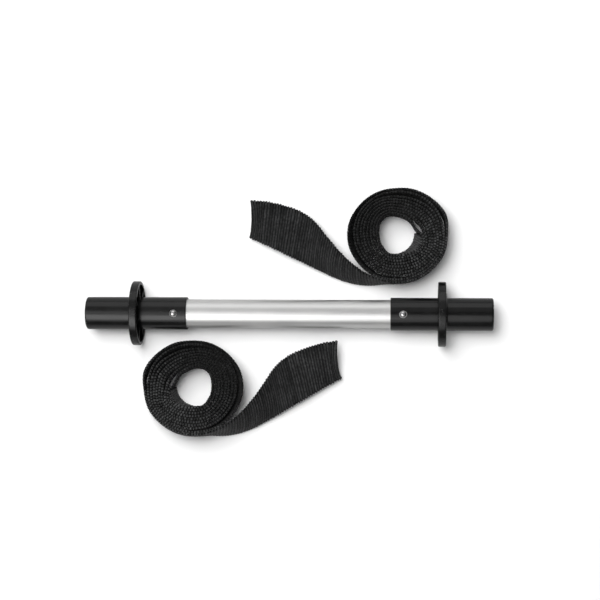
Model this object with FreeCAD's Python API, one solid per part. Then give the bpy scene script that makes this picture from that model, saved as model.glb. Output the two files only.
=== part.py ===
import FreeCAD, Part
import math
import os

# Short cargo bar with two loose rolls of webbing, in millimetres.
# +X runs along the bar, +Z is up. The bar lies on its two flange rims and the rolls stand on
# edge beside it. The origin is on the floor, under the middle of the bar.

Vector = FreeCAD.Vector

# Driving dimensions: the bar
BAR_LENGTH = 457.2
TUBE_OD = 31.75
TUBE_WALL = 1.65
FITTING_LENGTH = 114.3
SLEEVE_OD = 36.6
SLEEVE_GAP = 0.05            # radial gap between tube and sleeve
FLANGE_OD = 72.3
FLANGE_WIDTH = 8.7
SPIGOT_LENGTH = 52.6         # outboard face of the flange to the closed end
END_WALL = 3.0
TUBE_END_GAP = 0.4           # tube end to the inside of the end wall

# Driving dimensions: the flange recess, open towards the tube
RECESS_DEPTH = 5.4
RIM_WALL = 3.7
RIB_COUNT = 7
RIB_THICKNESS = 2.2
RIB_SETBACK = 0.6            # rib edge below the rim's face

# Driving dimensions: snap buttons and their springs
BUTTON_INSET = 14.1          # from the inboard end of the sleeve
BUTTON_DIAMETER = 7.1
BUTTON_PROUD = 3.1           # top of the dome above the sleeve
DOME_HEIGHT = 1.9
SHOULDER_DIAMETER = 9.8
SHOULDER_THICKNESS = 1.0
SHOULDER_TOP = 13.0          # above the bar axis, just inside the tube wall
TUBE_HOLE_DIAMETER = 7.8
SLEEVE_HOLE_DIAMETER = 8.6
SPRING_WIDTH = 9.0
SPRING_GAUGE = 0.8
SPRING_REACH = 38.0          # button axis to the start of the bend
SPRING_BEND_RADIUS = 3.4     # outside of the bend
SPRING_PAD = 6.0             # half length of the flat under the button

# Driving dimensions: the webbing rolls
WEBBING_WIDTH = 50.8
WEBBING_THICKNESS = 3.0
ROLL_OD = 110.4
ROLL_HOLE = 40.0
RIGHT_ROLL_CENTRE = (122.0, 86.6)
LEFT_ROLL_CENTRE = (-109.2, -86.6)
LEFT_ROLL_TURN = 5.0         # degrees, anticlockwise seen from above
LEFT_TAIL_LIFT = 1.15        # the left tail's lower edge stands a little higher off the floor

# Derived sizes
AXIS_HEIGHT = FLANGE_OD / 2
SLEEVE_END = BAR_LENGTH / 2 - FITTING_LENGTH
FLANGE_OUTER = BAR_LENGTH / 2 - SPIGOT_LENGTH
FLANGE_INNER = FLANGE_OUTER - FLANGE_WIDTH
TUBE_LENGTH = BAR_LENGTH - 2 * (END_WALL + TUBE_END_GAP)
BUTTON_X = SLEEVE_END + BUTTON_INSET
UP = Vector(0, 0, 1)
ALONG = Vector(1, 0, 0)


def rounded_face(corners):
    """A face in the XZ plane. Each corner is (x, z, radius of its rounding)."""
    starts = []
    ends = []
    middles = []
    count = len(corners)
    for i, (x, z, radius) in enumerate(corners):
        corner = Vector(x, 0, z)
        before = Vector(corners[i - 1][0], 0, corners[i - 1][1]) - corner
        after = Vector(corners[(i + 1) % count][0], 0, corners[(i + 1) % count][1]) - corner
        before.normalize()
        after.normalize()
        half = before.getAngle(after) / 2
        reach = radius / math.tan(half)
        starts.append(corner + before * reach)
        ends.append(corner + after * reach)
        bisector = (before + after).normalize()
        middles.append(corner + bisector * (radius / math.sin(half) - radius))
    edges = []
    for i in range(count):
        if corners[i][2] > 0:
            edges.append(Part.Arc(starts[i], middles[i], ends[i]).toShape())
        edges.append(Part.LineSegment(ends[i], starts[(i + 1) % count]).toShape())
    return Part.Face(Part.Wire(edges))


def turned(corners):
    """The rounded outline turned about the bar axis."""
    solid = rounded_face(corners).revolve(Vector(0, 0, 0), ALONG, 360)
    solid.translate(UP * AXIS_HEIGHT)
    return solid


def mirrored_left(shape):
    return shape.mirror(Vector(0, 0, 0), ALONG)


def vertical_hole(diameter):
    """A cutter through the top wall only, on the button's axis."""
    base = Vector(BUTTON_X, 0, AXIS_HEIGHT + 2)
    return Part.makeCylinder(diameter / 2, SLEEVE_OD, base, UP)


def bar_tube():
    outer = TUBE_OD / 2
    inner = outer - TUBE_WALL
    half = TUBE_LENGTH / 2
    tube = turned([(-half, inner, 0.3), (-half, outer, 0.5), (half, outer, 0.5), (half, inner, 0.3)])
    hole = vertical_hole(TUBE_HOLE_DIAMETER)
    return tube.cut(hole).cut(mirrored_left(hole))


def fitting_outline():
    """Half section of the right fitting: sleeve, recessed flange and closed spigot."""
    outer = SLEEVE_OD / 2
    bore = TUBE_OD / 2 + SLEEVE_GAP
    rim = FLANGE_OD / 2
    floor = FLANGE_INNER + RECESS_DEPTH
    end = BAR_LENGTH / 2
    return [
        (SLEEVE_END, bore, 0.6),
        (SLEEVE_END, outer, 0.7),
        (floor, outer, 2.4),
        (floor, rim - RIM_WALL, 1.2),
        (FLANGE_INNER, rim - RIM_WALL, 0.6),
        (FLANGE_INNER, rim, 1.3),
        (FLANGE_OUTER, rim, 1.3),
        (FLANGE_OUTER, outer, 2.0),
        (end, outer, 2.2),
        (end, 3.6, 0.3),
        (end - 0.6, 3.0, 0.3),
        (end - 0.6, 0, 0),
        (end - END_WALL, 0, 0),
        (end - END_WALL, bore, 0.8),
    ]


def flange_rib(angle):
    """One radial rib across the flange recess; angle in degrees about the bar axis."""
    inner = SLEEVE_OD / 2 - 1.0
    outer = FLANGE_OD / 2 - RIM_WALL / 2
    length = RECESS_DEPTH - RIB_SETBACK + 1.0
    corner = Vector(FLANGE_INNER + RIB_SETBACK, -RIB_THICKNESS / 2, inner)
    rib = Part.makeBox(length, RIB_THICKNESS, outer - inner, corner)
    rib.rotate(Vector(0, 0, 0), ALONG, angle)
    rib.translate(UP * AXIS_HEIGHT)
    return rib


def end_fitting():
    body = turned(fitting_outline())
    ribs = [flange_rib(180 + i * 360 / RIB_COUNT) for i in range(RIB_COUNT)]
    return body.fuse(ribs).removeSplitter().cut(vertical_hole(SLEEVE_HOLE_DIAMETER))


def snap_button():
    """Shouldered pin with a domed head, turned about its own vertical axis."""
    radius = BUTTON_DIAMETER / 2
    shoulder = SHOULDER_DIAMETER / 2
    top = SLEEVE_OD / 2 + BUTTON_PROUD
    base = SHOULDER_TOP - SHOULDER_THICKNESS
    rim = top - DOME_HEIGHT
    apex = Vector(0, 0, top)
    # the dome's arc passes through the rim, the apex and a point between them
    sphere = (radius ** 2 + DOME_HEIGHT ** 2) / (2 * DOME_HEIGHT)
    tilt = math.asin(radius / sphere) / 2
    between = Vector(sphere * math.sin(tilt), 0, top - sphere * (1 - math.cos(tilt)))
    corners = [
        Vector(0, 0, base),
        Vector(shoulder, 0, base),
        Vector(shoulder, 0, SHOULDER_TOP),
        Vector(radius, 0, SHOULDER_TOP),
        Vector(radius, 0, rim),
    ]
    edges = [Part.LineSegment(a, b).toShape() for a, b in zip(corners, corners[1:])]
    edges.append(Part.Arc(corners[-1], between, apex).toShape())
    edges.append(Part.LineSegment(apex, corners[0]).toShape())
    button = Part.Face(Part.Wire(edges)).revolve(Vector(0, 0, 0), UP, 360)
    button.translate(Vector(BUTTON_X, 0, AXIS_HEIGHT))
    return button


def button_spring():
    """Folded leaf spring: a pad under the button, a bend, and a foot on the tube's far wall."""
    radius = SPRING_BEND_RADIUS
    pad = SHOULDER_TOP - SHOULDER_THICKNESS
    inner = TUBE_OD / 2 - TUBE_WALL
    foot = -math.sqrt(inner ** 2 - (SPRING_WIDTH / 2) ** 2) + 0.15
    middle = (pad + foot) / 2
    bend = Vector(-SPRING_REACH, 0, middle)
    upper = Vector(-SPRING_PAD, 0, pad)
    lower = Vector(-SPRING_PAD, 0, foot)
    rise = (upper - bend).Length
    lean = math.asin((pad - middle) / rise) - math.asin(radius / rise)
    normal = Vector(-math.sin(lean), 0, math.cos(lean))
    start = bend + normal * radius
    end = bend + Vector(normal.x, 0, -normal.z) * radius
    # the strip's outer side; its thickness goes inwards
    edges = [
        Part.LineSegment(Vector(SPRING_PAD, 0, pad), upper).toShape(),
        Part.LineSegment(upper, start).toShape(),
        Part.Arc(start, bend - ALONG * radius, end).toShape(),
        Part.LineSegment(end, lower).toShape(),
        Part.LineSegment(lower, Vector(SPRING_PAD, 0, foot)).toShape(),
    ]
    strip = Part.Wire(edges).makeOffset2D(SPRING_GAUGE, 2, True, True)
    leaf = strip.extrude(Vector(0, SPRING_WIDTH, 0))
    leaf.translate(Vector(BUTTON_X, -SPRING_WIDTH / 2, AXIS_HEIGHT))
    return leaf


# Stations along the free tail, from the roll to the cut end, measured from the roll's centre:
# (lower edge x, y, z), (upper edge x, y, z). The webbing turns from upright to nearly flat.
TAIL_STATIONS = [
    ((-16.0, -50.0, 0.0), (-16.0, -49.9, 50.8)),
    ((-32.3, -54.0, 0.0), (-36.0, -42.2, 49.6)),
    ((-50.0, -52.4, 0.6), (-51.9, -29.4, 44.5)),
    ((-68.5, -47.2, 3.0), (-67.0, -14.2, 37.5)),
    ((-86.5, -40.0, 7.0), (-81.0, 2.6, 29.0)),
    ((-103.0, -32.4, 11.0), (-94.5, 19.0, 20.0)),
    ((-119.0, -24.9, 13.0), (-109.5, 29.6, 16.0)),
    ((-136.5, -16.5, 13.0), (-128.5, 36.4, 18.0)),
    ((-154.0, -8.4, 11.0), (-148.0, 40.4, 25.0)),
    ((-169.6, -1.4, 8.0), (-166.2, 41.4, 31.0)),
]


def tail_section(lower, upper, along):
    """The webbing's rectangular section between its two edges, resting on its lower edge."""
    half = WEBBING_THICKNESS / 2
    normal = (upper - lower).cross(along).normalize()
    raised = UP * (half * abs(normal.z))
    low = lower + raised
    high = upper + raised
    corners = [low + normal * half, high + normal * half, high - normal * half, low - normal * half]
    return Part.makePolygon(corners + corners[:1])


def webbing_tail(lift):
    """The free tail. A lift of 1 leaves its lower edge as high as the stations say."""
    stations = [(Vector(low[0], low[1], low[2] * lift), Vector(*high)) for low, high in TAIL_STATIONS]
    middles = [(low + high) / 2 for low, high in stations]
    last = len(stations) - 1
    sections = []
    for i, (lower, upper) in enumerate(stations):
        along = middles[min(i + 1, last)] - middles[max(i - 1, 0)]
        sections.append(tail_section(lower, upper, along))
    return Part.makeLoft(sections, True, True)


def webbing_roll(tail_lift):
    """A plain ring for the rolled turns with the free tail joined on, about the roll's centre."""
    turns = Part.makeCylinder(ROLL_OD / 2, WEBBING_WIDTH)
    hole = Part.makeCylinder(ROLL_HOLE / 2, WEBBING_WIDTH)
    return turns.cut(hole).fuse(webbing_tail(tail_lift))


def right_strap():
    strap = webbing_roll(1.0)
    strap.translate(Vector(*RIGHT_ROLL_CENTRE, 0))
    return strap


def left_strap():
    """The mirror image of the right strap, turned a little and with its tail higher."""
    strap = mirrored_left(webbing_roll(LEFT_TAIL_LIFT))
    strap.rotate(Vector(0, 0, 0), UP, LEFT_ROLL_TURN)
    strap.translate(Vector(*LEFT_ROLL_CENTRE, 0))
    return strap


def build():
    fitting = end_fitting()
    button = snap_button()
    spring = button_spring()
    return {
        "bar_tube": bar_tube(),
        "right_end_fitting": fitting,
        "left_end_fitting": mirrored_left(fitting),
        "right_snap_button": button,
        "left_snap_button": mirrored_left(button),
        "right_button_spring": spring,
        "left_button_spring": mirrored_left(spring),
        "right_strap": right_strap(),
        "left_strap": left_strap(),
    }


os.makedirs("parts", exist_ok=True)
for name, shape in build().items():
    if shape.ShapeType != "Solid":
        shape = shape.Solids[0]
    shape.exportStep("parts/" + name + ".step")
    box = shape.optimalBoundingBox()
    print(name, shape.isValid(), round(shape.Volume, 1),
          [round(v, 2) for v in (box.XMin, box.YMin, box.ZMin, box.XMax, box.YMax, box.ZMax)])
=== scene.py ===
"""Looks for the cargo bar: satin tube, moulded end fittings and two loose rolls of ribbed webbing.

Everything is in metres in the frame's own axes: +X along the bar, +Z up, the floor at z = 0.
Lengths named _MM are in millimetres and are turned into metres where a mesh is made.
"""

import math

import bmesh
import bpy
import numpy as np
from mathutils import Matrix, Vector


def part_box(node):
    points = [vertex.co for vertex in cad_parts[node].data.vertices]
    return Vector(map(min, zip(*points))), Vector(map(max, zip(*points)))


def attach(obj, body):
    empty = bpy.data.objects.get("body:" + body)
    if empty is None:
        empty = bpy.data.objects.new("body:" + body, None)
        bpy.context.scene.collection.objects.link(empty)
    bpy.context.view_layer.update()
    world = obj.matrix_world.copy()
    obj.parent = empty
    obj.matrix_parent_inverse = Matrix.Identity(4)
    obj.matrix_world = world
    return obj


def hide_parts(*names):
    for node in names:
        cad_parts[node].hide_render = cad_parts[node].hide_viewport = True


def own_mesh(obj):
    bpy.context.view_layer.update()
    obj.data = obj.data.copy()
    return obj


MM = 0.001

# ---------------------------------------------------------------- webbing: sizes

WIDTH_MM = 50.8
THICKNESS_MM = 3.1          # over the crests of two opposite ribs
RIB_PITCH_MM = 3.2
RIB_DEPTH_MM = 0.42         # crest to valley on one face
SELVAGE_DEPTH_MM = 1.25     # crest to valley where the weft turns round the edge
SELVAGE_REACH_MM = 1.7      # how far a crest stands out past a valley, along the width
SLIM_BEARING_DEG = 150.0    # the side of the roll where the selvages are thinnest
SLIM_SHARES = (-0.06, 0.46)     # how much thinner the selvages are on the far side and on this one
YARN_PITCH_MM = 1.55        # warp yarns across the width
RIB_SAMPLES = (-0.5, -0.40, -0.20, 0.0, 0.20, 0.40)
RIB_HALF_WIDTH = 0.44       # of one rib, as a share of the pitch
RIB_UNEVEN = 0.42           # how much lower the lowest rib is than the highest
PITCH_UNEVEN = 0.07         # spread of the ribs' pitches, as a share of the pitch

# ---------------------------------------------------------------- webbing: the roll

FIRST_TURN_RADIUS_MM = 50.8     # centreline at the start of the outermost turn
TURN_STEP_MM = 3.35             # centreline to centreline of neighbouring turns
TURNS = 9.291
ROLL_STEP_DEG = 0.75
TAIL_START_DEG = 270.0          # bearing where the free tail leaves the roll

# Slack between turns: (boundary outside turn j, bearing, half width in degrees, opening in mm,
# share of the opening at the foot). Every turn outside the boundary is pushed out by the
# opening, fading away along the roll. Where the foot stays closed the gap shows no floor.
SLACK = (
    (0, 22, 18, 2.5, 1.0),
    (0, 60, 40, 0.7, 0.0),
    (0, 190, 42, 4.4, -0.05),
    (0, 238, 18, 1.5, -0.1),
    (0, 265, 22, 0.5, -1.2),
    (1, 72, 36, 3.0, 0.1),
    (1, 190, 35, 0.4, 0.0),
    (2, 45, 35, 0.8, 0.3),
    (2, 175, 35, 0.6, 0.3),
    (2, 285, 22, 0.6, 0.0),
    (3, 45, 30, 0.7, 0.3),
    (4, 160, 25, 0.9, 0.2),
    (5, 190, 40, 0.6, 0.3),
    (6, 25, 30, 1.5, 0.6),
    (6, 190, 40, 0.5, 0.3),
    (7, 27, 17, 1.3, 1.0),
    (8, 338, 34, 4.2, 1.0),
)
# The whole roll is pushed out or in here: bearing, half width in degrees, mm.
BULGES = ((125, 38, 2.8), (44, 14, 0.4), (90, 22, -0.9), (150, 30, 0.4), (324, 12, -0.8))
# Turns are packed closer here: bearing, half width in degrees, mm taken off the turn step.
SQUEEZES = ((118, 42, 0.30), (338, 34, 0.40), (245, 18, 0.14))
INNER_DIP = ((8.250, 8.290), (8.32, 8.45), -2.6)    # one inner turn pulled in: from, to, mm
DIP_SLIM = 0.30                                     # how much thinner it is there
SLACK_START_TURNS = 0.12        # how gently a slack place starts outside its boundary
FOOT_LIFT_MM = 0.3              # no two turns stand at quite the same height
# Small waves in every turn: mm, waves in a turn, start in radians.
WAVES = ((0.09, 7.3, 0.4), (0.07, 12.7, 2.1), (0.10, 3.37, 1.0))

# Where the tail leaves, the outermost turn leans out at its foot.
LEAVING_TURNS = 0.125
LEAVING_TUCK_MM = 0.5
LEAVING_FOOT_MM = 1.8

# The inner end leans: turns from outside, radius of the lower edge, radius of the upper edge.
INNER_END_BLEND_TURNS = (8.93, 9.05)
INNER_END = (
    (8.95, 19.2, 21.0),
    (9.00, 18.9, 21.3),
    (9.05, 18.0, 22.2),
    (9.10, 17.6, 24.2),
    (9.14, 17.4, 26.4),
    (9.20, 17.8, 27.7),
    (9.26, 18.9, 26.6),
    (9.30, 20.4, 25.8),
)

# ---------------------------------------------------------------- webbing: the free tail

# Stations from the roll to the cut end, about the roll's centre, in mm: lower edge x, y, z,
# upper edge x, y, z, and how far the middle bows towards the outer face.
TAIL = (
    (-16.0, -52.6, 0.0, -17.0, -48.9, 50.7, 0.0),
    (-32.3, -54.1, 0.0, -35.0, -41.6, 49.6, 2.0),
    (-50.0, -52.4, 0.6, -51.9, -29.4, 44.5, 5.0),
    (-68.5, -47.2, 3.0, -67.0, -14.2, 37.5, 7.0),
    (-86.5, -40.0, 7.0, -81.0, 2.6, 29.0, 5.5),
    (-103.0, -32.4, 11.0, -94.5, 19.0, 20.0, 2.5),
    (-119.0, -24.9, 13.0, -109.5, 29.6, 16.0, 1.5),
    (-136.5, -16.5, 13.0, -128.5, 36.4, 18.0, 2.0),
    (-154.0, -8.4, 11.0, -148.0, 40.4, 25.0, 3.5),
    (-169.6, -1.4, 8.0, -166.2, 41.4, 31.0, 5.0),
)
LEAD_TURNS = (0.1, 0.05, 0.0)   # places at the end of the roll that steer the start of the tail
TAIL_LENGTH_MM = 178.0          # from where it leaves the roll to the cut end
SPAN_STEPS = 36                 # samples in each span between two stations
CUT_HOLLOW_MM = 5.0             # the cut end curves in at its middle
CUT_FADE_MM = 16.0
INNER_CUT_SLANT_MM = 7.0        # lower edge runs on past the upper edge at the inner end
INNER_CUT_FADE_MM = 24.0

# Which faces are out in the light, by distance along the webbing; the rest, shut in between turns, get
# painted shade.
TAIL_FADE_MM = 40.0                 # after the tail leaves the roll
INNER_END_SHOWN_MM = (20.0, 40.0)   # from the inner end
OUTER_TURN_SHOWN_MM = (345.0, 320.0)    # before the tail leaves the roll

# How grey the black webbing looks, against 1: painted light, lighter on one side of a roll and darker on the
# other.
ROLL_TONE = 0.95
ROLL_TONE_SWING = 0.58
# the bearing where the roll is painted lightest
PAINTED_LIT_BEARING_DEG = -42        # on the right roll
TAIL_TONE = 0.88
TONE_CHANGE_MM = (56.0, 68.0)   # from the roll's axis: the roll's tone, then the tail's

# Where each roll's axis is at half height, in mm, and how far the roll leans: mm sideways per mm up.
RIGHT_ROLL_CENTRE_MM = (122.0, 87.1)
RIGHT_LEAN = (0.0, 0.0)
RIGHT_TAIL_LIFT = 1.0
LEFT_ROLL_CENTRE_MM = (-109.2, -86.1)
LEFT_LEAN = (0.139, 0.096)
LEFT_TAIL_LIFT = 1.15
LEFT_ROLL_TURN_DEG = 5.0
LEFT_SPREAD = 1.008             # the left roll is wound a little looser

# The webbing's section: where each face has points, in mm from the nearer edge, and the rounded
# edge itself, as mm from the edge and share of the half thickness.
FACE_POINTS_MM = (1.3, 3.6, 9.5, 19.5)
CAP_POINTS = ((0.35, 0.72), (0.0, 0.0))
SELVAGE_WIDTH_MM = 3.0          # the beading fades out over this much of the face
# a face nearer its edge than this gets no painted shade between turns
UNSHADED_EDGE_MM = 1.0       # nearer the edge than this, a face isn't shut in


def smooth_step(x, low, high):
    t = np.clip((x - low) / (high - low), 0, 1)
    return t * t * (3 - 2 * t)


def bump_at(x, centre, half_width):
    return np.exp(-(((x - centre) / half_width) ** 2))


def bearing_gap(bearing, centre):
    """Signed angle in degrees from centre to bearing, from -180 to 180."""
    return (bearing - centre + 180) % 360 - 180


def squeeze_at(bearing):
    """How much the turn step is cut at each bearing, in mm."""
    return sum(cut * bump_at(bearing_gap(bearing, centre), 0, half) for centre, half, cut in SQUEEZES)


def roll_edges(turn):
    """Lower and upper edge of the webbing at each value of turn, counted in turns from outside."""
    bearing = (turn * 360 + TAIL_START_DEG) % 360
    radius = FIRST_TURN_RADIUS_MM - (TURN_STEP_MM - squeeze_at(bearing)) * turn
    foot = np.zeros(len(turn))
    for boundary, centre, half_width, opening, foot_share in SLACK:
        edge = ((centre - TAIL_START_DEG) % 360) / 360 + boundary + 0.5
        outside = 0.5 * (1 - np.tanh((turn - edge) / SLACK_START_TURNS))
        pushed = opening * outside * bump_at(bearing_gap(bearing, centre), 0, half_width)
        radius += pushed
        foot -= (1 - foot_share) * pushed
    for centre, half_width, pushed in BULGES:
        radius += pushed * bump_at(bearing_gap(bearing, centre), 0, half_width)
    begin, end, dip = INNER_DIP
    radius += dip * smooth_step(turn, *begin) * (1 - smooth_step(turn, *end))
    angle = turn * 2 * math.pi
    for size, rate, start in WAVES:
        radius += size * np.sin(rate * angle + start)

    leaving = 1 - smooth_step(turn, 0.0, LEAVING_TURNS)
    inner = smooth_step(turn, *INNER_END_BLEND_TURNS)
    at, lower_end, upper_end = np.array(INNER_END).T
    radius -= LEAVING_TUCK_MM * leaving
    lower_radius = (radius + foot + LEAVING_FOOT_MM * leaving) * (1 - inner)
    lower_radius += np.interp(turn, at, lower_end) * inner
    upper_radius = radius * (1 - inner) + np.interp(turn, at, upper_end) * inner

    lift = FOOT_LIFT_MM + FOOT_LIFT_MM * np.sin(2.9 * turn * 2 + 0.8) * np.cos(1.7 * turn + 0.3)
    direction = np.stack([np.cos(np.radians(bearing)), np.sin(np.radians(bearing))], 1)
    lower = np.column_stack([direction * lower_radius[:, None], lift])
    upper = np.column_stack([direction * upper_radius[:, None], lift + WIDTH_MM])
    return lower, upper


def through(points, steps):
    """A smooth line through every point but the first and the last, which only steer it."""
    p = np.asarray(points, float)
    t = np.linspace(0, 1, steps, endpoint=False)[:, None]
    spans = []
    for a, b, c, d in zip(p, p[1:], p[2:], p[3:]):
        spans.append(
            0.5 * (2 * b + (c - a) * t + (2 * a - 5 * b + 4 * c - d) * t**2 + (3 * b - a - 3 * c + d) * t**3)
        )
    spans.append(p[-2][None])
    return np.concatenate(spans)


def strap_edges(tail_lift):
    """Both edges, the bow and the slimness of the webbing, from the roll's inner end to the cut end."""
    turn = np.arange(TURNS, 0, -ROLL_STEP_DEG / 360)
    lower, upper = roll_edges(turn)
    lead_lower, lead_upper = roll_edges(np.array(LEAD_TURNS))
    known = [[*lo, *up, 0.0] for lo, up in zip(lead_lower, lead_upper)]
    stations = np.array(known[1:] + [list(s) for s in TAIL])
    stations[2:, 2] *= tail_lift
    beyond = 2 * stations[-1] - stations[-2]
    line = through([known[0], *stations, beyond], SPAN_STEPS)[SPAN_STEPS:]
    lower = np.concatenate([lower, line[:, 0:3]])
    upper = np.concatenate([upper, line[:, 3:6]])
    bow = np.concatenate([np.zeros(len(turn)), line[:, 6]])
    bearing = turn * 360 + TAIL_START_DEG
    low, high = SLIM_SHARES
    slim = low + (high - low) * (0.5 + 0.5 * np.cos(np.radians(bearing - SLIM_BEARING_DEG)))
    slim = 1 - (1 - slim) * (1 - squeeze_at(bearing) / TURN_STEP_MM)
    begin, end, _ = INNER_DIP
    slim += DIP_SLIM * smooth_step(turn, *begin) * (1 - smooth_step(turn, *end))
    slim = np.concatenate([slim, np.zeros(len(line))])
    return lower, upper, bow, slim


def resample(values, at, wanted):
    return np.column_stack([np.interp(wanted, at, column) for column in np.atleast_2d(values.T)])


def unit(vectors):
    return vectors / np.linalg.norm(vectors, axis=1, keepdims=True)


def rib_stations(length, seed):
    """Distance along the webbing and rib height, 0 in a valley to 1 on a crest, at each station."""
    rng = np.random.default_rng(seed)
    count = int(length / RIB_PITCH_MM)
    pitches = RIB_PITCH_MM * (1 + PITCH_UNEVEN * rng.standard_normal(count))
    pitches *= length / pitches.sum()
    starts = np.concatenate([[0], np.cumsum(pitches)])
    heights = 1 - RIB_UNEVEN * rng.random(count)
    at = []
    crest = []
    for start, pitch, height in zip(starts, pitches, heights):
        for x in RIB_SAMPLES:
            at.append(start + pitch * (x + 0.5))
            crest.append(height * math.sqrt(max(0.0, 1 - (x / RIB_HALF_WIDTH) ** 2)))
    at.append(length)
    crest.append(0.0)
    return np.array(at), np.array(crest)


def section_points():
    """The closed section: across in mm, share of half thickness, and selvage beading from 0 to 1."""
    lower_half = [(a, 1.0, max(0.0, 1 - a / SELVAGE_WIDTH_MM)) for a in FACE_POINTS_MM]
    mirrored = [(WIDTH_MM - a, n, b) for a, n, b in reversed(lower_half)]
    outer = lower_half + mirrored
    far_cap = [(WIDTH_MM - a, n, 1.0) for a, n in CAP_POINTS]
    far_cap.append((WIDTH_MM - CAP_POINTS[0][0], -CAP_POINTS[0][1], 1.0))
    inner = [(a, -n, b) for a, n, b in reversed(outer)]
    near_cap = [(CAP_POINTS[0][0], -CAP_POINTS[0][1], 1.0), (0.0, 0.0, 1.0)]
    near_cap.append((CAP_POINTS[0][0], CAP_POINTS[0][1], 1.0))
    return np.array(outer + far_cap + inner + near_cap)


def webbing_points(tail_lift, seed):
    """Vertices of one strap about its roll's centre in mm, with where each is on the webbing and its painted
    light and shade.
    """
    lower, upper, bow, slim = strap_edges(tail_lift)
    middle = (lower + upper) / 2
    run = np.concatenate([[0], np.cumsum(np.linalg.norm(np.diff(middle, axis=0), axis=1))])
    length = run[-1]
    at, crest = rib_stations(length, seed)
    slant = INNER_CUT_SLANT_MM * (1 - smooth_step(at, 0, INNER_CUT_FADE_MM))
    low = resample(lower, run, at)
    high = resample(upper, run, np.minimum(at + slant, length))
    bow = np.interp(at, run, bow)
    slim = np.interp(at, run, slim)
    leaves = length - TAIL_LENGTH_MM
    tail_share = smooth_step(at, leaves, leaves + TAIL_FADE_MM)
    end_share = 1 - smooth_step(at, *INNER_END_SHOWN_MM)
    outer_from, outer_to = OUTER_TURN_SHOWN_MM
    outer_share = smooth_step(at, leaves - outer_from, leaves - outer_to)
    centre = (low + high) / 2
    along = unit(np.gradient(centre, axis=0))
    across = unit(high - low)
    outward = unit(np.cross(across, along))
    raised = 0.5 * THICKNESS_MM * np.abs(outward[:, 2])
    low[:, 2] += raised
    high[:, 2] += raised

    place, side, bead = section_points().T
    share = place / WIDTH_MM
    hollow = CUT_HOLLOW_MM * smooth_step(at, length - CUT_FADE_MM, length)
    arch = 4 * share * (1 - share)
    depth = RIB_DEPTH_MM + (SELVAGE_DEPTH_MM - RIB_DEPTH_MM) * bead
    half = 0.5 * THICKNESS_MM - depth[None] * (1 - crest[:, None])
    half *= 1 - slim[:, None] * bead[None]
    reach_out = SELVAGE_REACH_MM * (crest[:, None] - 1) * bead[None] * np.sign(share - 0.5)[None]
    base = low[:, None] + (high - low)[:, None] * share[None, :, None]
    points = base + across[:, None] * reach_out[..., None]
    points += outward[:, None] * (side[None] * half + bow[:, None] * arch[None])[..., None]
    points -= along[:, None] * (hollow[:, None] * arch[None])[..., None]
    weave = np.stack(np.broadcast_arrays(at[:, None], place[None], crest[:, None]), axis=-1)
    # painted shade on faces shut in between turns, 1, or none on faces out in the light, 0
    out_faces = np.maximum(tail_share, outer_share)[:, None]
    in_faces = np.maximum(tail_share, end_share)[:, None]
    shown = np.where(side[None] > 0, out_faces, in_faces)
    painted_turn_shade = (1 - shown) * (np.minimum(place, WIDTH_MM - place) > UNSHADED_EDGE_MM)[None]
    # painted light: the roll is painted lighter on one side and darker on the other, and the tail is in
    # between
    bearing = np.arctan2(points[..., 1], points[..., 0])
    roll_tone = ROLL_TONE + ROLL_TONE_SWING * np.cos(bearing - math.radians(PAINTED_LIT_BEARING_DEG))
    beyond = smooth_step(np.hypot(points[..., 0], points[..., 1]), *TONE_CHANGE_MM)
    painted_light = roll_tone + (TAIL_TONE - roll_tone) * beyond
    return points, weave, {"painted_turn_shade": painted_turn_shade, "painted_light": painted_light}, length


def loft_faces(stations, around):
    """Quads between neighbouring stations of a closed section."""
    i = np.arange(stations - 1)[:, None] * around
    j = np.arange(around)[None]
    k = (j + 1) % around
    return np.stack([i + j, i + k, i + around + k, i + around + j], axis=-1).reshape(-1, 4)


def webbing_mesh(name, points, weave, layers):
    """The webbing's closed surface, with quads across both ends, and its layers for the material."""
    stations, around = points.shape[:2]
    quads = loft_faces(stations, around)
    half = around // 2
    first = [[j, around - 1 - j, around - 2 - j, j + 1][::-1] for j in range(half - 1)]
    base = (stations - 1) * around
    last = [[base + v for v in quad[::-1]] for quad in first]
    faces = np.concatenate([quads, np.array(first), np.array(last)])
    mesh = bpy.data.meshes.new(name)
    mesh.vertices.add(stations * around)
    mesh.vertices.foreach_set("co", (points * MM).astype(np.float32).ravel())
    mesh.loops.add(faces.size)
    mesh.loops.foreach_set("vertex_index", faces.ravel().astype(np.int32))
    mesh.polygons.add(len(faces))
    mesh.polygons.foreach_set("loop_start", np.arange(0, faces.size, 4, dtype=np.int32))
    mesh.polygons.foreach_set("use_smooth", np.ones(len(faces), bool))
    mesh.update()
    mesh.validate()
    attribute = mesh.attributes.new("weave", "FLOAT_VECTOR", "POINT")
    attribute.data.foreach_set("vector", weave.astype(np.float32).ravel())
    for layer, values in layers.items():
        attribute = mesh.attributes.new(layer, "FLOAT", "POINT")
        attribute.data.foreach_set("value", values.astype(np.float32).ravel())
    return mesh


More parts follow.
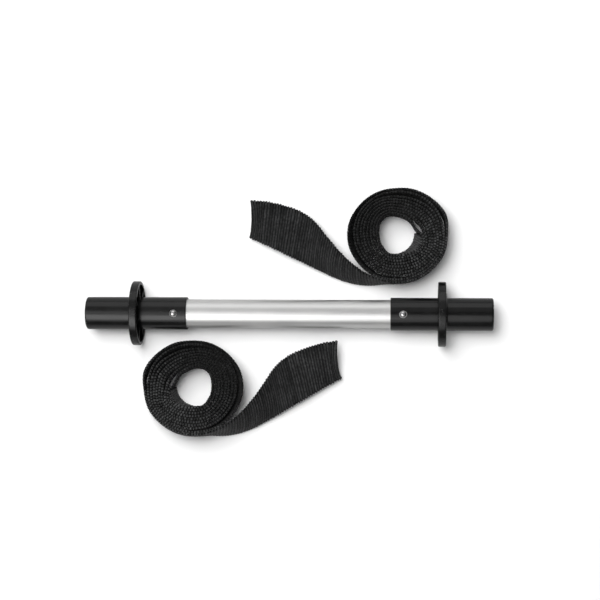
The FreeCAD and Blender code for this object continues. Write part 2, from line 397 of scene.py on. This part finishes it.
def strap(
    name, node, body, centre_mm, lean, tail_lift, seed, material,
    mirror=False, turn_deg=0.0, spread=1.0,
):
    """One length of webbing, wound up and set down where its roll stands."""
    points, weave, layers, length = webbing_points(tail_lift, seed)
    points *= (spread, spread, 1)
    if mirror:
        points = points[:, ::-1] * (-1, 1, 1)
        weave = weave[:, ::-1]
        layers = {layer: values[:, ::-1] for layer, values in layers.items()}
    c, s = math.cos(math.radians(turn_deg)), math.sin(math.radians(turn_deg))
    x, y = points[..., 0].copy(), points[..., 1].copy()
    above_middle = points[..., 2] - WIDTH_MM / 2
    points[..., 0] = c * x - s * y + centre_mm[0] + lean[0] * above_middle
    points[..., 1] = s * x + c * y + centre_mm[1] + lean[1] * above_middle
    points[..., 2] /= math.sqrt(1 + lean[0] ** 2 + lean[1] ** 2)
    mesh = webbing_mesh(name, points, weave, layers)
    obj = bpy.data.objects.new(name, mesh)
    bpy.context.scene.collection.objects.link(obj)
    mesh.materials.append(material)
    obj.visible_glossy = False
    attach(obj, body)
    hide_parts(node)


# ---------------------------------------------------------------- materials


class Nodes:
    """A short way to add and link shader nodes."""

    def __init__(self, material):
        material.use_nodes = True
        self.tree = material.node_tree
        self.tree.nodes.clear()
        self.shader = self.add("ShaderNodeBsdfPrincipled")
        out = self.add("ShaderNodeOutputMaterial")
        self.tree.links.new(self.shader.outputs[0], out.inputs[0])

    def add(self, kind, **settings):
        node = self.tree.nodes.new(kind)
        for name, value in settings.items():
            setattr(node, name, value)
        return node

    def put(self, node, socket, value):
        """Links value to the socket if it is an output, or sets it."""
        if isinstance(value, bpy.types.NodeSocket):
            self.tree.links.new(value, node.inputs[socket])
        else:
            node.inputs[socket].default_value = value

    def math(self, operation, *values, clamp=False):
        node = self.add("ShaderNodeMath", operation=operation, use_clamp=clamp)
        for i, value in enumerate(values):
            self.put(node, i, value)
        return node.outputs[0]

    def noise(self, vector, scale, detail=4.0, roughness=0.55):
        node = self.add("ShaderNodeTexNoise")
        self.put(node, "Vector", vector)
        self.put(node, "Scale", scale)
        self.put(node, "Detail", detail)
        self.put(node, "Roughness", roughness)
        return node.outputs["Fac"]

    def span(self, value, low, high, to_low, to_high, smooth=True):
        node = self.add("ShaderNodeMapRange")
        node.interpolation_type = "SMOOTHSTEP" if smooth else "LINEAR"
        for socket, v in zip((0, 1, 2, 3, 4), (value, low, high, to_low, to_high)):
            self.put(node, socket, v)
        return node.outputs[0]

    def blend(self, share, first, second):
        node = self.add("ShaderNodeMix", data_type="RGBA")
        self.put(node, 0, share)
        self.put(node, 6, first)
        self.put(node, 7, second)
        return node.outputs[2]

    def combine(self, x, y, z):
        node = self.add("ShaderNodeCombineXYZ")
        for i, value in enumerate((x, y, z)):
            self.put(node, i, value)
        return node.outputs[0]

    def separate(self, vector):
        node = self.add("ShaderNodeSeparateXYZ")
        self.put(node, 0, vector)
        return node.outputs[0], node.outputs[1], node.outputs[2]

    def place(self):
        """Where the point is, in metres, in the object's own space."""
        return self.add("ShaderNodeTexCoord").outputs["Object"]

    def bump(self, height, distance, strength=1.0, under=None):
        node = self.add("ShaderNodeBump")
        self.put(node, "Height", height)
        self.put(node, "Distance", distance)
        self.put(node, "Strength", strength)
        if under is not None:
            self.put(node, "Normal", under)
        return node.outputs[0]

    def finish(self, **sockets):
        for name, value in sockets.items():
            self.put(self.shader, name.replace("_", " "), value)


def grey(value, warm=0.0):
    return (value * (1 + warm), value, value * (1 - warm), 1)


def webbing_material():
    material = bpy.data.materials.new("webbing_black")
    n = Nodes(material)
    weave = n.add("ShaderNodeAttribute", attribute_name="weave").outputs["Vector"]
    along, across, crest = n.separate(weave)
    # warp yarns cross the ribs in step, half a yarn over on every other rib
    rib = n.math("FLOOR", n.math("DIVIDE", along, RIB_PITCH_MM))
    shift = n.math("MULTIPLY", n.math("MODULO", rib, 2.0), 0.5)
    yarn = n.math("ADD", n.math("DIVIDE", across, YARN_PITCH_MM), shift)
    wave = n.math("ABSOLUTE", n.math("SINE", n.math("MULTIPLY", yarn, math.pi)))
    stretched = n.combine(n.math("MULTIPLY", along, 0.5), n.math("MULTIPLY", across, 3.2), 0.0)
    fibres = n.noise(stretched, 1.6, 3.0)
    fuzz = n.noise(weave, 0.9, 5.0, 0.65)
    broad = n.noise(weave, 0.055, 2.0)
    height = n.math("ADD", n.math("MULTIPLY", wave, 0.75), n.math("MULTIPLY", fibres, 0.55))
    fine = n.bump(height, 0.00035, 0.85)
    normal = n.bump(fuzz, 0.00025, 0.6, fine)
    speckle = n.noise(n.combine(along, n.math("MULTIPLY", across, 0.7), 5.0), 0.55, 3.0, 0.6)
    streak = n.noise(n.combine(along, n.math("MULTIPLY", across, 0.12), 9.0), 0.42, 2.0)
    beading = n.span(n.math("ABSOLUTE", n.math("SUBTRACT", across, WIDTH_MM / 2)), 20.5, 23.8, 0.0, 1.0)
    # painted shade: rib valleys are painted darker than the crests, darkest near the selvages
    flat_low = n.math("SUBTRACT", 0.34, n.math("MULTIPLY", beading, 0.34))
    painted_shade = n.span(crest, 0.28, 0.86, flat_low, 1.16)
    # painted shade: faces shut in between turns are painted much darker
    painted_turn_shade = n.add("ShaderNodeAttribute", attribute_name="painted_turn_shade").outputs["Fac"]
    painted_shade = n.math("MULTIPLY", painted_shade, n.span(painted_turn_shade, 0.0, 1.0, 1.0, 0.12, smooth=False))
    specks = n.span(speckle, 0.32, 0.68, 0.25, 1.5)
    streaks = n.span(streak, 0.35, 0.65, 0.6, 1.4)
    uneven = n.math("MULTIPLY", specks, streaks)
    even_share = n.span(beading, 0.0, 1.0, 0.55, 0.45)
    uneven = n.math("ADD", n.math("MULTIPLY", n.math("SUBTRACT", uneven, 1.0), even_share), 1.0)
    tone = n.math("MULTIPLY", n.math("MULTIPLY", painted_shade, uneven), n.span(broad, 0.35, 0.65, 0.85, 1.15))
    # painted light: one side of each roll is painted lighter, the other darker; the tail has its own tone
    tone = n.math("MULTIPLY", tone, n.add("ShaderNodeAttribute", attribute_name="painted_light").outputs["Fac"])
    colour = n.blend(n.math("MULTIPLY", tone, 0.6, clamp=True), grey(0.0008), grey(0.030, -0.02))
    rough = n.span(fuzz, 0.3, 0.7, 0.46, 0.70)
    selvage_shine = n.span(beading, 0.0, 1.0, 0.9, 1.25)
    # the specular level follows the painted light and shade too, so shaded places are painted with less
    # reflection
    shine = n.math("MULTIPLY", n.math("ADD", n.math("MULTIPLY", tone, 0.34), 0.02), selvage_shine)
    n.finish(Base_Color=colour, Roughness=rough, Normal=normal, Specular_IOR_Level=shine)
    n.finish(Sheen_Weight=0.03, Sheen_Roughness=0.45)
    return material


def bar_angle(n, place):
    """Angle round the bar's axis in turns, and distance from that axis."""
    x, y, z = n.separate(place)
    drop = n.math("SUBTRACT", z, AXIS_HEIGHT)
    angle = n.math("DIVIDE", n.math("ARCTAN2", y, drop), 2 * math.pi)
    radius = n.math("SQRT", n.math("ADD", n.math("MULTIPLY", y, y), n.math("MULTIPLY", drop, drop)))
    return x, angle, radius


def tube_material():
    material = bpy.data.materials.new("tube_satin_aluminium")
    n = Nodes(material)
    place = n.place()
    x, angle, _ = bar_angle(n, place)
    drawn = n.combine(n.math("MULTIPLY", x, 9.0), n.math("MULTIPLY", angle, 420.0), 0.0)
    lines = n.noise(drawn, 1.0, 5.0, 0.7)
    faint = n.noise(n.combine(n.math("MULTIPLY", x, 2.0), n.math("MULTIPLY", angle, 60.0), 3.0), 1.0, 3.0)
    cloud = n.noise(place, 28.0, 4.0)
    grain = n.noise(place, 2600.0, 2.0)
    tone = n.math("ADD", n.math("MULTIPLY", lines, 0.5), n.math("MULTIPLY", cloud, 0.5))
    colour = n.blend(n.span(tone, 0.35, 0.65, 0.0, 1.0), (0.79, 0.79, 0.785, 1), (0.86, 0.855, 0.845, 1))
    rough = n.math("ADD", n.span(faint, 0.3, 0.7, 0.32, 0.36), n.span(cloud, 0.35, 0.65, 0.0, 0.04))
    normal = n.bump(lines, 0.000005, 0.5)
    normal = n.bump(grain, 0.000002, 0.35, normal)
    n.finish(Base_Color=colour, Metallic=0.86, Roughness=rough, Normal=normal)
    return material


def fitting_material():
    material = bpy.data.materials.new("fitting_black_moulded")
    n = Nodes(material)
    place = n.place()
    _, _, radius = bar_angle(n, place)
    grain = n.noise(place, 1900.0, 3.0, 0.6)
    cloud = n.noise(place, 45.0, 4.0)
    scuff = n.noise(place, 260.0, 6.0, 0.7)
    rim = n.span(radius, 0.0335, 0.0358, 0.0, 1.0)
    worn = n.math("MULTIPLY", rim, n.span(scuff, 0.52, 0.66, 0.0, 1.0))
    tone = n.math("ADD", n.span(cloud, 0.35, 0.65, 0.1, 0.5), n.math("MULTIPLY", worn, 0.5), clamp=True)
    colour = n.blend(tone, grey(0.0010), grey(0.0060, -0.02))
    rough = n.math("ADD", n.span(cloud, 0.3, 0.7, 0.17, 0.24), n.math("MULTIPLY", worn, 0.12))
    normal = n.bump(grain, 0.00003, 0.45)
    normal = n.bump(scuff, 0.00004, 0.15, normal)
    n.finish(Base_Color=colour, Roughness=rough, Normal=normal, IOR=1.49)
    return material


def steel_material(name, dark, light, rough_low, rough_high):
    material = bpy.data.materials.new(name)
    n = Nodes(material)
    place = n.place()
    cloud = n.noise(place, 180.0, 4.0)
    scratch = n.noise(place, 2200.0, 4.0, 0.7)
    colour = n.blend(n.span(cloud, 0.35, 0.65, 0.0, 1.0), grey(dark), grey(light, 0.01))
    rough = n.span(scratch, 0.3, 0.7, rough_low, rough_high)
    normal = n.bump(scratch, 0.00001, 0.4)
    n.finish(Base_Color=colour, Metallic=1.0, Roughness=rough, Normal=normal)
    return material


def floor_material():
    material = bpy.data.materials.new("studio_floor")
    n = Nodes(material)
    cloud = n.noise(n.place(), 3.0, 2.0)
    colour = n.blend(cloud, grey(0.90), grey(0.915))
    # glossy reflections see the floor as darker than the eye does, as in a tented studio
    glossy = n.add("ShaderNodeLightPath").outputs["Is Glossy Ray"]
    colour = n.blend(glossy, colour, grey(FLOOR_IN_GLOSS))
    n.finish(Base_Color=colour, Roughness=0.9, Specular_IOR_Level=0.0)
    return material


# ---------------------------------------------------------------- the bar: sizes, as the CAD has them

BAR_LENGTH_MM = 457.2
TUBE_RADIUS_MM = 15.875
TUBE_WALL_MM = 1.65
TUBE_END_GAP_MM = 0.4
SLEEVE_GAP_MM = 0.05
SLEEVE_RADIUS_MM = 18.3
FITTING_LENGTH_MM = 114.3
SPIGOT_LENGTH_MM = 52.6
END_WALL_MM = 3.0
FLANGE_RADIUS_MM = 36.15
FLANGE_WIDTH_MM = 8.7
RECESS_DEPTH_MM = 5.4
RIM_WALL_MM = 3.7
RIB_COUNT = 7
RIB_THICKNESS_MM = 2.2
RIB_SETBACK_MM = 0.6
RIB_ROUND_MM = 0.45
BUTTON_INSET_MM = 14.1
BUTTON_RADIUS_MM = 3.55
BUTTON_PROUD_MM = 3.1
DOME_HEIGHT_MM = 1.9
SHOULDER_RADIUS_MM = 4.9
SHOULDER_TOP_MM = 13.0
SHOULDER_THICKNESS_MM = 1.0
TUBE_HOLE_RADIUS_MM = 3.9
SLEEVE_HOLE_RADIUS_MM = 4.3

HALF_LENGTH_MM = BAR_LENGTH_MM / 2
SLEEVE_END_MM = HALF_LENGTH_MM - FITTING_LENGTH_MM
FLANGE_OUTER_MM = HALF_LENGTH_MM - SPIGOT_LENGTH_MM
FLANGE_INNER_MM = FLANGE_OUTER_MM - FLANGE_WIDTH_MM
BUTTON_X_MM = SLEEVE_END_MM + BUTTON_INSET_MM
TURNED_SEGMENTS = 192
LONGEST_RUN_MM = 3.0
ARC_STEPS = 6
DOME_STEPS = 14
ON_AXIS_MM = 0.01               # a point this near the axis counts as on it
SHARP_EDGE_DEG = 40
CUTTER_FROM_MM = 8.0            # the cutters for the button holes, above the bar's axis
CUTTER_TO_MM = 30.0


def rounded_outline(corners):
    """Points along a closed outline. Each corner is (along, radius, rounding), all in mm."""
    points = []
    count = len(corners)
    for i, (along, radius, rounding) in enumerate(corners):
        corner = np.array([along, radius], float)
        if rounding == 0:
            points.append(corner)
            continue
        before = np.array(corners[i - 1][:2]) - corner
        after = np.array(corners[(i + 1) % count][:2]) - corner
        before /= np.linalg.norm(before)
        after /= np.linalg.norm(after)
        half = math.acos(np.clip(before @ after, -1, 1)) / 2
        start = corner + before * rounding / math.tan(half)
        middle = (before + after) / np.linalg.norm(before + after)
        centre = corner + middle * rounding / math.sin(half)
        first = math.atan2(*(start - centre)[::-1])
        sweep = math.pi - 2 * half
        if before[0] * after[1] - before[1] * after[0] > 0:
            sweep = -sweep
        for k in range(ARC_STEPS + 1):
            angle = first + sweep * k / ARC_STEPS
            points.append(centre + rounding * np.array([math.cos(angle), math.sin(angle)]))
    dense = []
    for a, b in zip(points, points[1:] + points[:1]):
        on_axis = a[1] < ON_AXIS_MM and b[1] < ON_AXIS_MM
        parts = 1 if on_axis else max(1, math.ceil(np.linalg.norm(b - a) / LONGEST_RUN_MM))
        dense += [a + (b - a) * k / parts for k in range(parts)]
    return np.array(dense)


def turned_mesh(name, outline, upright=False, segments=TURNED_SEGMENTS):
    """The closed outline turned about the bar's axis, or about a button's upright axis."""
    angle = np.arange(segments) * 2 * math.pi / segments
    along = np.repeat(outline[:, :1], segments, axis=1)
    side = outline[:, 1:] * np.sin(angle)
    front = outline[:, 1:] * np.cos(angle)
    columns = (front, side, along) if upright else (along, side, front)
    points = np.stack(columns, axis=-1).reshape(-1, 3) * MM
    if upright:
        points[:, 0] += BUTTON_X_MM * MM
    points[:, 2] += AXIS_HEIGHT
    faces = []
    count = len(outline)
    for i in range(count):
        j = (i + 1) % count
        if outline[i, 1] < ON_AXIS_MM and outline[j, 1] < ON_AXIS_MM:
            continue
        for k in range(segments):
            m = (k + 1) % segments
            faces.append((i * segments + k, j * segments + k, j * segments + m, i * segments + m))
    return clean_mesh(name, points, faces)


def clean_mesh(name, points, faces):
    """A mesh with doubled points merged and every face looking outwards."""
    mesh = bpy.data.meshes.new(name)
    mesh.from_pydata(points.tolist(), [], faces)
    work = bmesh.new()
    work.from_mesh(mesh)
    bmesh.ops.remove_doubles(work, verts=work.verts, dist=1e-7)
    bmesh.ops.dissolve_degenerate(work, edges=work.edges, dist=1e-8)
    bmesh.ops.recalc_face_normals(work, faces=work.faces)
    work.to_mesh(mesh)
    work.free()
    return mesh


def tube_outline():
    half = HALF_LENGTH_MM - END_WALL_MM - TUBE_END_GAP_MM
    inner = TUBE_RADIUS_MM - TUBE_WALL_MM
    return rounded_outline([
        (-half, inner, 0.3),
        (-half, TUBE_RADIUS_MM, 0.5),
        (half, TUBE_RADIUS_MM, 0.5),
        (half, inner, 0.3),
    ])


def fitting_outline():
    bore = TUBE_RADIUS_MM + SLEEVE_GAP_MM
    recess = FLANGE_INNER_MM + RECESS_DEPTH_MM
    end = HALF_LENGTH_MM
    return rounded_outline([
        (SLEEVE_END_MM, bore, 0.6),
        (SLEEVE_END_MM, SLEEVE_RADIUS_MM, 0.7),
        (recess, SLEEVE_RADIUS_MM, 2.4),
        (recess, FLANGE_RADIUS_MM - RIM_WALL_MM, 1.2),
        (FLANGE_INNER_MM, FLANGE_RADIUS_MM - RIM_WALL_MM, 0.6),
        (FLANGE_INNER_MM, FLANGE_RADIUS_MM, 1.3),
        (FLANGE_OUTER_MM, FLANGE_RADIUS_MM, 1.3),
        (FLANGE_OUTER_MM, SLEEVE_RADIUS_MM, 2.0),
        (end, SLEEVE_RADIUS_MM, 2.2),
        (end, 3.6, 0.3),
        (end - 0.6, 3.0, 0.3),
        (end - 0.6, 0, 0),
        (end - END_WALL_MM, 0, 0),
        (end - END_WALL_MM, bore, 0.8),
    ])


def flange_ribs():
    """The radial ribs of the flange recess, each a block with its open edges rounded off."""
    low = SLEEVE_RADIUS_MM - 1.0
    high = FLANGE_RADIUS_MM - RIM_WALL_MM / 2
    near = FLANGE_INNER_MM + RIB_SETBACK_MM
    far = FLANGE_INNER_MM + RECESS_DEPTH_MM + 0.4
    half = RIB_THICKNESS_MM / 2
    profile = [(far, -half), (far, half)]
    for k in range(ARC_STEPS + 1):
        angle = math.pi / 2 * k / ARC_STEPS
        inward = RIB_ROUND_MM * (1 - math.sin(angle))
        sideways = RIB_ROUND_MM * (1 - math.cos(angle))
        profile.append((near + inward, half - sideways))
    profile += [(x, -y) for x, y in reversed(profile[2:])]
    count = len(profile)
    points, faces = [], []
    for i in range(RIB_COUNT):
        turn = math.pi + i * 2 * math.pi / RIB_COUNT
        c, s = math.cos(turn), math.sin(turn)
        base = len(points)
        for z in (low, high):
            points += [(x, y * c - z * s, y * s + z * c) for x, y in profile]
        faces += [(base + k, base + (k + 1) % count, base + count + (k + 1) % count, base + count + k)
                  for k in range(count)]
        faces += [tuple(base + k for k in range(count)), tuple(base + count + k for k in range(count))]
    points = np.array(points) * MM
    points[:, 2] += AXIS_HEIGHT
    return clean_mesh("flange_ribs", points, faces)


def hole_cutter(x_mm, radius_mm):
    """An upright round cutter through the top wall of the bar."""
    low, high = CUTTER_FROM_MM, CUTTER_TO_MM
    outline = np.array([(low, 0), (low, radius_mm), (high, radius_mm), (high, 0)], float)
    mesh = turned_mesh("cutter", outline, upright=True, segments=72)
    mesh.transform(Matrix.Translation(((x_mm - BUTTON_X_MM) * MM, 0, 0)))
    return mesh


def combined(mesh, steps):
    """The mesh after each (operation, mesh) boolean step."""
    obj = bpy.data.objects.new("work", mesh)
    bpy.context.scene.collection.objects.link(obj)
    others = []
    for operation, other_mesh in steps:
        other = bpy.data.objects.new("work_other", other_mesh)
        bpy.context.scene.collection.objects.link(other)
        others.append(other)
        modifier = obj.modifiers.new(operation, "BOOLEAN")
        modifier.operation = operation
        modifier.solver = "EXACT"
        modifier.object = other
    bpy.context.view_layer.update()
    result = bpy.data.meshes.new_from_object(obj.evaluated_get(bpy.context.evaluated_depsgraph_get()))
    for used in [obj, *others]:
        bpy.data.objects.remove(used)
    return result


def bar_piece(name, mesh, node, body, material):
    mesh.materials.clear()
    mesh.materials.append(material)
    mesh.shade_smooth()
    mesh.set_sharp_from_angle(angle=math.radians(SHARP_EDGE_DEG))
    obj = bpy.data.objects.new(name, mesh)
    bpy.context.scene.collection.objects.link(obj)
    modifier = obj.modifiers.new("even_shading", "WEIGHTED_NORMAL")
    modifier.keep_sharp = True
    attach(obj, body)
    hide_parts(node)


def left_copy(mesh):
    copy = mesh.copy()
    copy.transform(Matrix.Scale(-1, 4, (1, 0, 0)))
    copy.flip_normals()
    return copy


def button_outline():
    top = SLEEVE_RADIUS_MM + BUTTON_PROUD_MM
    base = SHOULDER_TOP_MM - SHOULDER_THICKNESS_MM
    rim = top - DOME_HEIGHT_MM
    sphere = (BUTTON_RADIUS_MM**2 + DOME_HEIGHT_MM**2) / (2 * DOME_HEIGHT_MM)
    widest = math.asin(BUTTON_RADIUS_MM / sphere)
    points = [
        (base, 0),
        (base, SHOULDER_RADIUS_MM),
        (SHOULDER_TOP_MM, SHOULDER_RADIUS_MM),
        (SHOULDER_TOP_MM, BUTTON_RADIUS_MM),
        (rim - 0.25, BUTTON_RADIUS_MM),
    ]
    for k in range(DOME_STEPS):
        tilt = widest * (1 - k / DOME_STEPS)
        points.append((top - sphere * (1 - math.cos(tilt)), sphere * math.sin(tilt)))
    points.append((top, 0))
    return np.array(points)


def bar():
    """The tube, both fittings and both buttons, with the CAD's own sizes and finer surfaces."""
    cutters = [("DIFFERENCE", hole_cutter(side * BUTTON_X_MM, TUBE_HOLE_RADIUS_MM)) for side in (1, -1)]
    tube = combined(turned_mesh("tube", tube_outline()), cutters)
    bar_piece("tube", tube, "bar_tube", "bar", tube_material())

    black_plastic = fitting_material()
    steps = [("UNION", flange_ribs()), ("DIFFERENCE", hole_cutter(BUTTON_X_MM, SLEEVE_HOLE_RADIUS_MM))]
    fitting = combined(turned_mesh("right_fitting", fitting_outline()), steps)
    plated = steel_material("button_plated_steel", 0.62, 0.80, 0.16, 0.30)
    button = turned_mesh("right_button", button_outline(), upright=True, segments=96)
    for side, make in (("right", lambda m: m), ("left", left_copy)):
        bar_piece(side + "_fitting", make(fitting), side + "_end_fitting", "bar", black_plastic)
        bar_piece(side + "_button", make(button), side + "_snap_button", side + "_button", plated)


def spring_leaf(side, finish):
    """The CAD's own leaf, in the given finish, fixed to the bar."""
    node = side + "_button_spring"
    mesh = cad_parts[node].data.copy()
    mesh.materials.clear()
    mesh.materials.append(finish)
    obj = bpy.data.objects.new(side + "_spring_leaf", mesh)
    bpy.context.scene.collection.objects.link(obj)
    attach(obj, "bar")
    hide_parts(node)
    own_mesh(obj)


# ---------------------------------------------------------------- studio

WORLD_LIGHT = 0.30
WORLD_GLOSS = 0.14
FLOOR_IN_GLOSS = 0.38
LIGHT_DISTANCE = 2.0
FLOOR_HALF = 4.0
KEY_RADIANCE = 10.4
FILL_RADIANCE = 18.4
CORE_RADIANCE = 1.88
OVERHEAD_RADIANCE = 0.9
NORTH_RADIANCE = 0.75
NORTH_FILL_RADIANCE = 0.22

CAMERA_TARGET = Vector((0.0127, 0.01593, 0.0363))
CAMERA_TILT = math.radians(3.9)
CAMERA_TWIST = math.radians(0.188)
CAMERA_DISTANCE = 1.809
CAMERA_LENS_MM = 96.66
SENSOR_WIDTH_MM = 36.0


def area_light(name, toward, size, radiance, diffuse=True, glossy=True):
    """A soft box looking at the bar. toward is (degrees east, degrees north) of straight up."""
    east, north = (math.tan(math.radians(a)) for a in toward)
    direction = Vector((east, north, 1)).normalized()
    data = bpy.data.lights.new(name, "AREA")
    data.shape = "RECTANGLE"
    data.size, data.size_y = size
    data.energy = radiance * math.pi * size[0] * size[1]
    obj = bpy.data.objects.new(name, data)
    obj.location = direction * LIGHT_DISTANCE
    obj.rotation_mode = "QUATERNION"
    obj.rotation_quaternion = direction.to_track_quat("Z", "Y")
    obj.visible_diffuse = diffuse
    obj.visible_glossy = glossy
    obj.visible_camera = False
    bpy.context.scene.collection.objects.link(obj)


def studio():
    world = bpy.data.worlds.new("studio")
    world.use_nodes = True
    tree = world.node_tree
    background = tree.nodes["Background"]
    background.inputs["Color"].default_value = (1, 1, 1, 1)
    paths = tree.nodes.new("ShaderNodeLightPath")
    dim = tree.nodes.new("ShaderNodeMapRange")
    dim.inputs[3].default_value = WORLD_LIGHT
    dim.inputs[4].default_value = WORLD_GLOSS
    tree.links.new(paths.outputs["Is Glossy Ray"], dim.inputs[0])
    tree.links.new(dim.outputs[0], background.inputs["Strength"])
    bpy.context.scene.world = world

    # the first two light matt surfaces and cast the shadows, the rest are what shiny ones reflect
    area_light("key", (-8, 15), (0.85, 1.05), KEY_RADIANCE, glossy=False)
    area_light("fill", (-2, 6), (0.5, 0.5), FILL_RADIANCE, glossy=False)
    area_light("core", (-24, -25), (1.6, 0.95), CORE_RADIANCE, diffuse=False)
    area_light("overhead", (-20, -23), (3.0, 2.2), OVERHEAD_RADIANCE, diffuse=False)
    area_light("north_wall", (-20, 68), (3.0, 1.3), NORTH_RADIANCE, diffuse=False)
    area_light("north_fill", (-20, 28), (3.0, 1.5), NORTH_FILL_RADIANCE, diffuse=False)

    mesh = bpy.data.meshes.new("floor")
    edges = (-FLOOR_HALF, 0, FLOOR_HALF)
    grid = [(x, y, 0.0) for y in edges for x in edges]
    quads = [(i + 3 * j, i + 1 + 3 * j, i + 4 + 3 * j, i + 3 + 3 * j) for j in (0, 1) for i in (0, 1)]
    mesh.from_pydata(grid, [], quads)
    mesh.materials.append(floor_material())
    floor = bpy.data.objects.new("floor", mesh)
    bpy.context.scene.collection.objects.link(floor)


def camera():
    data = bpy.data.cameras.new("camera")
    data.sensor_width = SENSOR_WIDTH_MM
    data.lens = CAMERA_LENS_MM
    obj = bpy.data.objects.new("camera", data)
    back = Vector((math.sin(CAMERA_TILT), 0, math.cos(CAMERA_TILT)))
    obj.location = CAMERA_TARGET + back * CAMERA_DISTANCE
    obj.rotation_euler = (0, CAMERA_TILT, CAMERA_TWIST)
    bpy.context.scene.collection.objects.link(obj)
    bpy.context.scene.camera = obj


# ---------------------------------------------------------------- the scene

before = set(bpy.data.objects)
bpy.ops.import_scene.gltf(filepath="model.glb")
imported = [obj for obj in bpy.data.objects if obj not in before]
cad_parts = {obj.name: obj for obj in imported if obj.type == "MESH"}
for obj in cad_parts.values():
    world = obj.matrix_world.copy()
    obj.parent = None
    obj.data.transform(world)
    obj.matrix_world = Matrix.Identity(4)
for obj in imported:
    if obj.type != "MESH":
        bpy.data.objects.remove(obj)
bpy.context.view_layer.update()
AXIS_HEIGHT = (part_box("bar_tube")[0].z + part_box("bar_tube")[1].z) / 2   # metres, of the bar's axis

camera()
studio()

bar()
spring_finish = steel_material("spring_steel", 0.30, 0.42, 0.32, 0.48)
for side in ("right", "left"):
    spring_leaf(side, spring_finish)

black = webbing_material()
strap(
    "right_webbing", "right_strap", "right_strap_roll",
    RIGHT_ROLL_CENTRE_MM, RIGHT_LEAN, RIGHT_TAIL_LIFT, 11, black,
)
strap(
    "left_webbing", "left_strap", "left_strap_roll",
    LEFT_ROLL_CENTRE_MM, LEFT_LEAN, LEFT_TAIL_LIFT, 23, black,
    mirror=True, turn_deg=LEFT_ROLL_TURN_DEG, spread=LEFT_SPREAD,
)

bpy.context.scene.view_settings.view_transform = "Standard"
